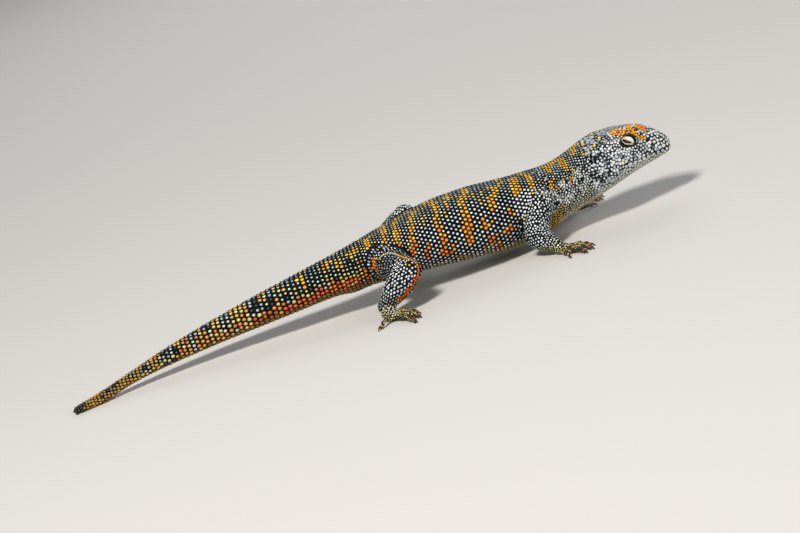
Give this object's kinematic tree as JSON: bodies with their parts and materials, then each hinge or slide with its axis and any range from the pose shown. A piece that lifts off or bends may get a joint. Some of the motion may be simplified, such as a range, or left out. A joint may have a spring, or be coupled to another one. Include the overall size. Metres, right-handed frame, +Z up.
{
  "type": "lizard",
  "caption": "Life-size stout lizard, a still model: head raised, legs splayed, hands and feet flat on the floor, tail trailing behind with its tip down.",
  "frame": {"origin": "on the floor, under the middle of the animal's box", "axes": "+X forwards, the way the head points, +Y to the animal's left, +Z up from the floor"},
  "size_m": [0.1762, 0.0594, 0.0231],
  "materials": {
    "head_skin": "satin",
    "trunk_skin": "satin",
    "tail_skin": "satin",
    "limb_skin": "satin",
    "eye": "gloss"
  },
  "bodies": {
    "root": {"head": "head_skin", "neck": "head_skin", "torso": "trunk_skin", "tail_root": "tail_skin", "tail_middle": "tail_skin", "tail_tip": "tail_skin", "upper_arm_right": "limb_skin", "forearm_right": "limb_skin", "hand_right": "limb_skin", "upper_arm_left": "limb_skin", "forearm_left": "limb_skin", "hand_left": "limb_skin", "thigh_right": "limb_skin", "shin_right": "limb_skin", "foot_right": "limb_skin", "thigh_left": "limb_skin", "shin_left": "limb_skin", "foot_left": "limb_skin", "eye_right": "eye", "eye_left": "eye"}
  },
  "joints": []
}
